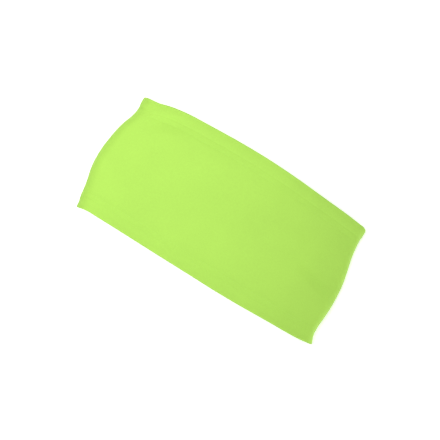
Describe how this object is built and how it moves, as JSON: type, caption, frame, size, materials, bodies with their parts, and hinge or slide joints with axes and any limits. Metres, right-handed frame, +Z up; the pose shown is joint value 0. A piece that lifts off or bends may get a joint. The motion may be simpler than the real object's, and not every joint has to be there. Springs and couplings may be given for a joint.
{
  "type": "sports sweatband",
  "caption": "Wide knit sweatband lying flat: a hemmed loop of stretch cloth with bulging folded ends, a back seam inside and a hinged blank label.",
  "frame": {"origin": "centre of the band's footprint, on the surface that it lies on", "axes": "+X along the flat band from fold to fold, +Y across its height towards the more curved long edge, +Z up from the table, out of the front of the band"},
  "size_m": [0.2264, 0.1144, 0.013],
  "materials": {
    "knit": "fine stretch jersey, lime green, faint sheen",
    "thread": "lime green polyester sewing thread",
    "satin_tape": "white woven satin tape, blank"
  },
  "bodies": {
    "band": {"knit_tube": "knit", "upper_hem_edge_needle_thread": "thread", "upper_hem_body_needle_thread": "thread", "upper_hem_looper_thread": "thread", "lower_hem_edge_needle_thread": "thread", "lower_hem_body_needle_thread": "thread", "lower_hem_looper_thread": "thread", "back_seam_needle_threads": "thread", "back_seam_looper_threads": "thread"},
    "label": {"care_label": "satin_tape"}
  },
  "joints": [
    {"name": "label_flap", "type": "hinge", "parent": "band", "child": "label", "pos_m": [-0.0005, 0.012, 0.0011], "axis": [0, 1, 0], "range_deg": [0, 20]}
  ]
}
